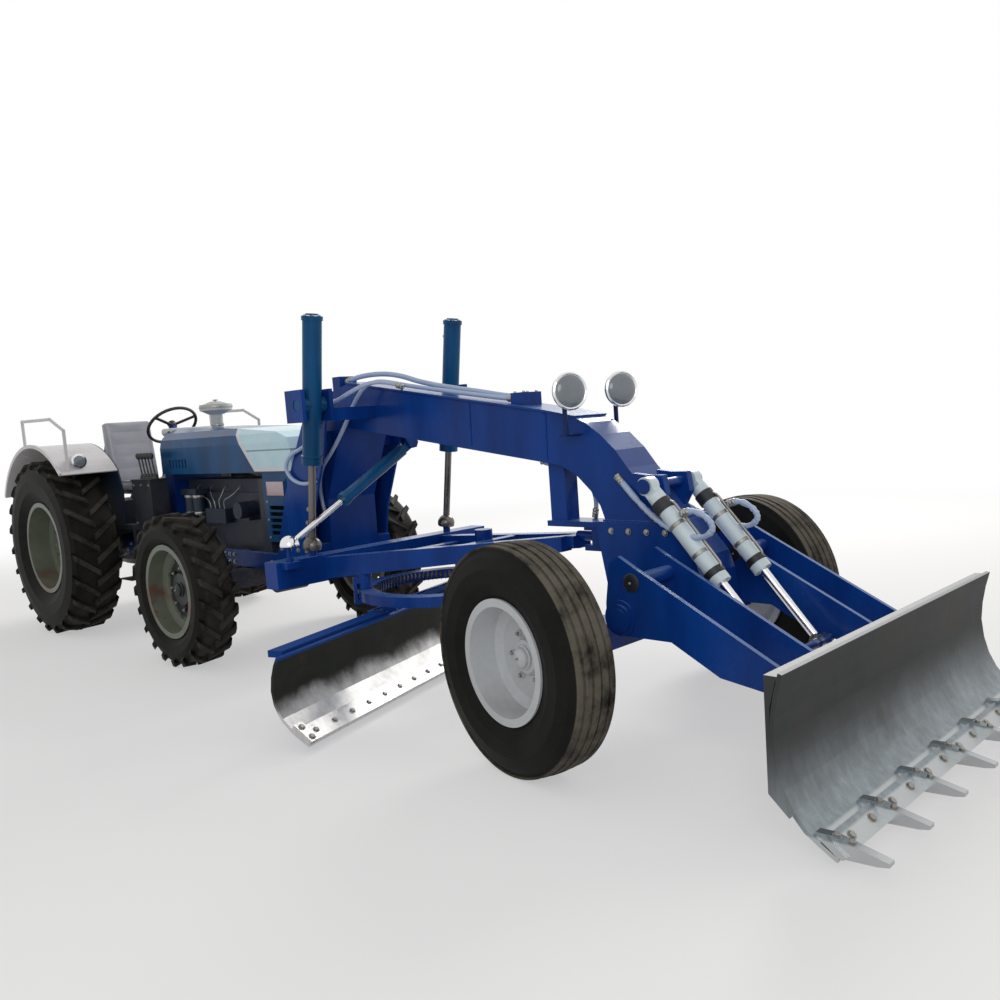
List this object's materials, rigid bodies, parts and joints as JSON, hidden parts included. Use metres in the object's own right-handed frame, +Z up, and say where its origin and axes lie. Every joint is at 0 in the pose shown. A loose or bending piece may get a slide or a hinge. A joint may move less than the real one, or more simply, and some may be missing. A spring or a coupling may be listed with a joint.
{
  "type": "motor grader",
  "caption": "Tractor-based motor grader: farm tractor behind a box gooseneck frame with drawbar, circle, angled moldboard, ribbed steering wheels and a front dozer blade with tines.",
  "frame": {"origin": "on the ground under the centre of the machine's bounding box", "axes": "+X forward, towards the front blade; +Y left; +Z up"},
  "size_m": [8.0099, 2.8279, 2.2193],
  "materials": {
    "blue_paint": "gloss",
    "dark_blue": "gloss",
    "pale_paint": "gloss",
    "dark_paint": "satin",
    "casting": "matte",
    "engine": "matte",
    "vinyl": "satin",
    "black_plastic": "matte",
    "clear_plastic": "gloss",
    "lamp_metal": "polished",
    "rim_paint": "satin",
    "rim_white": "satin",
    "tyre": "matte",
    "chrome": "polished",
    "worn_steel": "worn",
    "hose": "satin"
  },
  "bodies": {
    "tractor": {"chassis": "casting", "engine_block": "engine", "hood": "blue_paint", "fenders": "pale_paint", "platform": "dark_paint", "seat": "vinyl", "console": "blue_paint", "steering_wheel": "black_plastic", "precleaner": "clear_plastic", "hoses": "hose", "rear_hitch": "dark_paint", "tractor_front_axle": "casting", "subframe": "blue_paint", "main_beam": "blue_paint", "front_box": "blue_paint", "work_lamps": "lamp_metal", "grader_axle": "blue_paint"},
    "rear_wheel_left": {"wheel_rear_left": "rim_paint", "tyre_rear_left": "tyre"},
    "rear_wheel_right": {"wheel_rear_right": "rim_paint", "tyre_rear_right": "tyre"},
    "front_wheel_left": {"wheel_front_left": "rim_paint", "tyre_front_left": "tyre"},
    "front_wheel_right": {"wheel_front_right": "rim_paint", "tyre_front_right": "tyre"},
    "knuckle_left": {"knuckle_left": "blue_paint"},
    "knuckle_right": {"knuckle_right": "blue_paint"},
    "grader_wheel_left": {"wheel_grader_left": "rim_white", "tyre_grader_left": "tyre"},
    "grader_wheel_right": {"wheel_grader_right": "rim_white", "tyre_grader_right": "tyre"},
    "steering_rod": {"steering_rod": "chrome"},
    "drawbar": {"drawbar": "blue_paint"},
    "circle": {"turn_circle": "blue_paint", "moldboard": "worn_steel"},
    "lift_barrel_left": {"lift_barrel_left": "blue_paint"},
    "lift_barrel_right": {"lift_barrel_right": "blue_paint"},
    "lift_rod_left": {"lift_rod_left": "chrome"},
    "lift_rod_right": {"lift_rod_right": "chrome"},
    "shift_barrel": {"shift_barrel": "dark_blue"},
    "shift_rod": {"shift_rod": "chrome"},
    "front_blade": {"dozer_arms": "blue_paint", "dozer_blade": "worn_steel"},
    "dozer_barrels": {"dozer_barrels": "dark_blue"},
    "dozer_rods": {"dozer_rods": "chrome"}
  },
  "joints": [
    {"name": "rear_left_spin", "type": "hinge", "parent": "tractor", "child": "rear_wheel_left", "pos_m": [-3.145, 0.773, 0.733], "axis": [0, 1, 0], "continuous": true},
    {"name": "rear_right_spin", "type": "hinge", "parent": "tractor", "child": "rear_wheel_right", "pos_m": [-3.145, -0.773, 0.733], "axis": [0, 1, 0], "continuous": true},
    {"name": "front_left_spin", "type": "hinge", "parent": "tractor", "child": "front_wheel_left", "pos_m": [-0.96, 0.806, 0.531], "axis": [0, 1, 0], "continuous": true},
    {"name": "front_right_spin", "type": "hinge", "parent": "tractor", "child": "front_wheel_right", "pos_m": [-0.96, -0.806, 0.531], "axis": [0, 1, 0], "continuous": true},
    {"name": "steer_left", "type": "hinge", "parent": "tractor", "child": "knuckle_left", "pos_m": [2.409, 0.752, 0.509], "axis": [0, 0, 1], "range_deg": [-15, 35]},
    {"name": "steer_right", "type": "hinge", "parent": "tractor", "child": "knuckle_right", "pos_m": [2.409, -0.752, 0.509], "axis": [0, 0, 1], "range_deg": [-15, 35]},
    {"name": "grader_left_spin", "type": "hinge", "parent": "knuckle_left", "child": "grader_wheel_left", "pos_m": [2.44017, 0.92877, 0.509], "axis": [0.1736, 0.9848, 0], "continuous": true},
    {"name": "grader_right_spin", "type": "hinge", "parent": "knuckle_right", "child": "grader_wheel_right", "pos_m": [2.37783, -0.92877, 0.509], "axis": [0.1736, 0.9848, 0], "continuous": true},
    {"name": "steering_slide", "type": "slide", "parent": "tractor", "child": "steering_rod", "axis": [0, 1, 0], "range_m": [-0.126, 0.055]},
    {"name": "drawbar_lift", "type": "hinge", "parent": "tractor", "child": "drawbar", "pos_m": [2.095, 0, 0.9], "axis": [0, 1, 0], "range_deg": [-5, 10]},
    {"name": "circle_turn", "type": "hinge", "parent": "drawbar", "child": "circle", "pos_m": [0.855, 0, 0.55], "axis": [0, 0, 1], "range_deg": [-58, 22]},
    {"name": "lift_swing_left", "type": "hinge", "parent": "tractor", "child": "lift_barrel_left", "pos_m": [0.415, 0.55, 1.7], "axis": [0, 1, 0], "range_deg": [-2.1, 4.1]},
    {"name": "lift_stroke_left", "type": "slide", "parent": "lift_barrel_left", "child": "lift_rod_left", "axis": [0.1625, 0, 0.9867], "range_m": [-0.158, 0.315]},
    {"name": "lift_swing_right", "type": "hinge", "parent": "tractor", "child": "lift_barrel_right", "pos_m": [0.415, -0.55, 1.7], "axis": [0, 1, 0], "range_deg": [-2.1, 4.1]},
    {"name": "lift_stroke_right", "type": "slide", "parent": "lift_barrel_right", "child": "lift_rod_right", "axis": [0.1625, 0, 0.9867], "range_m": [-0.158, 0.315]},
    {"name": "shift_swing", "type": "hinge", "parent": "tractor", "child": "shift_barrel", "pos_m": [0.375, 0.205, 1.425], "axis": [1, 0, 0], "range_deg": [-15, 7.5]},
    {"name": "shift_stroke", "type": "slide", "parent": "shift_barrel", "child": "shift_rod", "axis": [0, 0.8767, 0.4811], "range_m": [-0.065, 0.13]},
    {"name": "front_blade_lift", "type": "hinge", "parent": "tractor", "child": "front_blade", "pos_m": [2.655, 0, 0.64], "axis": [0, -1, 0], "range_deg": [-4, 20]},
    {"name": "dozer_swing", "type": "hinge", "parent": "tractor", "child": "dozer_barrels", "pos_m": [2.555, 0, 1.18], "axis": [0, -1, 0], "range_deg": [-2.2, 10.6]},
    {"name": "dozer_stroke", "type": "slide", "parent": "dozer_barrels", "child": "dozer_rods", "axis": [-0.6549, 0, 0.7557], "range_m": [-0.023, 0.111]}
  ],
  "couplings": [
    {"joint": "steer_right", "follows": "steer_left", "ratio": 1},
    {"joint": "steering_slide", "follows": "steer_left", "m_per_rad": -0.2045},
    {"joint": "lift_swing_left", "follows": "drawbar_lift", "ratio": 0.38},
    {"joint": "lift_swing_right", "follows": "drawbar_lift", "ratio": 0.38},
    {"joint": "lift_stroke_left", "follows": "drawbar_lift", "m_per_rad": 1.795},
    {"joint": "lift_stroke_right", "follows": "drawbar_lift", "m_per_rad": 1.795},
    {"joint": "shift_swing", "follows": "drawbar_lift", "ratio": -1.47},
    {"joint": "shift_stroke", "follows": "drawbar_lift", "m_per_rad": 0.733},
    {"joint": "dozer_swing", "follows": "front_blade_lift", "ratio": 0.527},
    {"joint": "dozer_stroke", "follows": "front_blade_lift", "m_per_rad": 0.315}
  ]
}
